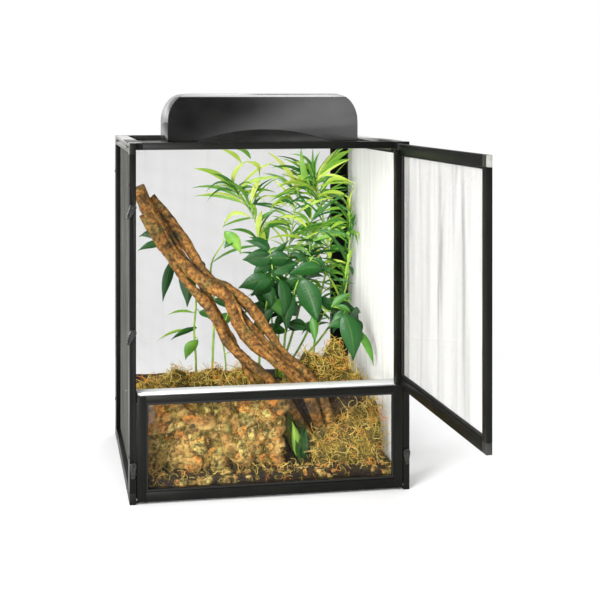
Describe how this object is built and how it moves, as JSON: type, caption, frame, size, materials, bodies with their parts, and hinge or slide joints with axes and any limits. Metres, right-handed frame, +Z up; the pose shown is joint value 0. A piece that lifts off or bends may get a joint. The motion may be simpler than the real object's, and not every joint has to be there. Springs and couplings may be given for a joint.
{
  "type": "reptile terrarium",
  "caption": "Screened reptile terrarium with an open mesh door, a clear drop-down lower door, turn clips, a lamp hood on its mesh roof, and planted furnishings.",
  "frame": {"origin": "middle of the underside of the base, on the surface that the cage stands on", "axes": "+X to the right seen from the front, +Y to the back, +Z up; the doors are at -Y"},
  "size_m": [0.4123, 0.7948, 0.578],
  "materials": {
    "frame_paint": "black powder coat, satin",
    "block_plastic": "moulded black plastic",
    "cap_plastic": "moulded charcoal plastic",
    "bare_aluminium": "satin mill finish",
    "wire_mesh": "woven wire, satin",
    "spline_vinyl": "matt",
    "screw_steel": "zinc plated",
    "hinge_steel": "blackened steel",
    "pin_steel": "bright",
    "clear_acrylic": "clear",
    "floor_plastic": "sheet",
    "soil_fibre": "loose coconut fibre",
    "cork_bark": "rough bark with lichen",
    "dried_moss": "curly fibres",
    "driftwood": "rough vine bark",
    "palm_leaf": "satin leaf",
    "broad_leaf": "satin leaf",
    "clip_plastic": "moulded nylon",
    "hood_gloss": "gloss black",
    "plate_black": "satin black, blank",
    "reflector_sheet": "bright sheet",
    "socket_ceramic": "glazed white",
    "lamp_glass": "opal",
    "foot_rubber": "matt",
    "gland_nylon": "moulded nylon",
    "rocker_red": "gloss"
  },
  "bodies": {
    "frame": {"post_front_left": "frame_paint", "post_front_right": "frame_paint", "posts_back": "frame_paint", "top_rail_front": "frame_paint", "top_rail_back": "frame_paint", "top_rails_side": "frame_paint", "base_rails_across": "frame_paint", "base_rails_side": "frame_paint", "mid_rail": "frame_paint", "sill_strip": "bare_aluminium", "floor_sheet": "floor_plastic", "corner_blocks_top": "block_plastic", "corner_blocks_bottom": "block_plastic", "screen_left": "wire_mesh", "screen_right": "wire_mesh", "screen_back": "wire_mesh", "screen_roof": "wire_mesh", "screen_splines": "spline_vinyl", "frame_screws": "screw_steel", "hinge_brackets": "hinge_steel", "hinge_pins": "pin_steel", "front_screws": "screw_steel", "soil": "soil_fibre", "cork_bark": "cork_bark", "moss": "dried_moss", "vines": "driftwood", "palm": "palm_leaf", "broadleaf_plant": "broad_leaf", "low_plant": "broad_leaf"},
    "main_door": {"door_hinge_stile": "frame_paint", "door_latch_stile": "frame_paint", "door_top_rail": "frame_paint", "door_bottom_rail": "frame_paint", "door_corner_caps": "cap_plastic", "door_screen": "wire_mesh", "door_spline": "spline_vinyl", "door_hinge_leaves": "hinge_steel", "door_leaf_screws": "screw_steel"},
    "lower_door": {"lower_stiles": "frame_paint", "lower_top_rail": "frame_paint", "lower_bottom_rail": "frame_paint", "lower_pane": "clear_acrylic", "lower_bead": "spline_vinyl", "lower_pivot_pins": "pin_steel"},
    "upper_main_clip": {"main_clip_upper": "clip_plastic"},
    "lower_main_clip": {"main_clip_lower": "clip_plastic"},
    "left_lower_clip": {"lower_clip_left": "clip_plastic"},
    "right_lower_clip": {"lower_clip_right": "clip_plastic"},
    "hood": {"hood_panels": "hood_gloss", "hood_ends": "hood_gloss", "hood_top": "hood_gloss", "hood_arch_plate": "plate_black", "hood_reflector": "reflector_sheet", "lamp_sockets": "socket_ceramic", "lamps": "lamp_glass", "hood_feet": "foot_rubber", "cable_gland": "gland_nylon", "switch_bezel": "gland_nylon"},
    "rocker": {"switch_rocker": "rocker_red"}
  },
  "joints": [
    {"name": "main_door_hinge", "type": "hinge", "parent": "frame", "child": "main_door", "pos_m": [0.1935, -0.2052, 0.33], "axis": [0, 0, 1], "range_deg": [-90.5, 84.5]},
    {"name": "lower_door_hinge", "type": "hinge", "parent": "frame", "child": "lower_door", "pos_m": [0, -0.2005, 0.007], "axis": [1, 0, 0], "range_deg": [0, 90]},
    {"name": "upper_main_clip_turn", "type": "hinge", "parent": "frame", "child": "upper_main_clip", "pos_m": [-0.1985, -0.2045, 0.418], "axis": [0, -1, 0], "continuous": true},
    {"name": "lower_main_clip_turn", "type": "hinge", "parent": "frame", "child": "lower_main_clip", "pos_m": [-0.1985, -0.2045, 0.242], "axis": [0, -1, 0], "continuous": true},
    {"name": "left_lower_clip_turn", "type": "hinge", "parent": "frame", "child": "left_lower_clip", "pos_m": [-0.1985, -0.2045, 0.055], "axis": [0, -1, 0], "continuous": true},
    {"name": "right_lower_clip_turn", "type": "hinge", "parent": "frame", "child": "right_lower_clip", "pos_m": [0.1985, -0.2045, 0.055], "axis": [0, -1, 0], "continuous": true},
    {"name": "hood_lift", "type": "slide", "parent": "frame", "child": "hood", "axis": [0, 0, 1], "range_m": [0, 0.15]},
    {"name": "rocker_tilt", "type": "hinge", "parent": "hood", "child": "rocker", "pos_m": [0.065, -0.008, 0.522], "axis": [1, 0, 0], "range_deg": [-12, 0]}
  ]
}
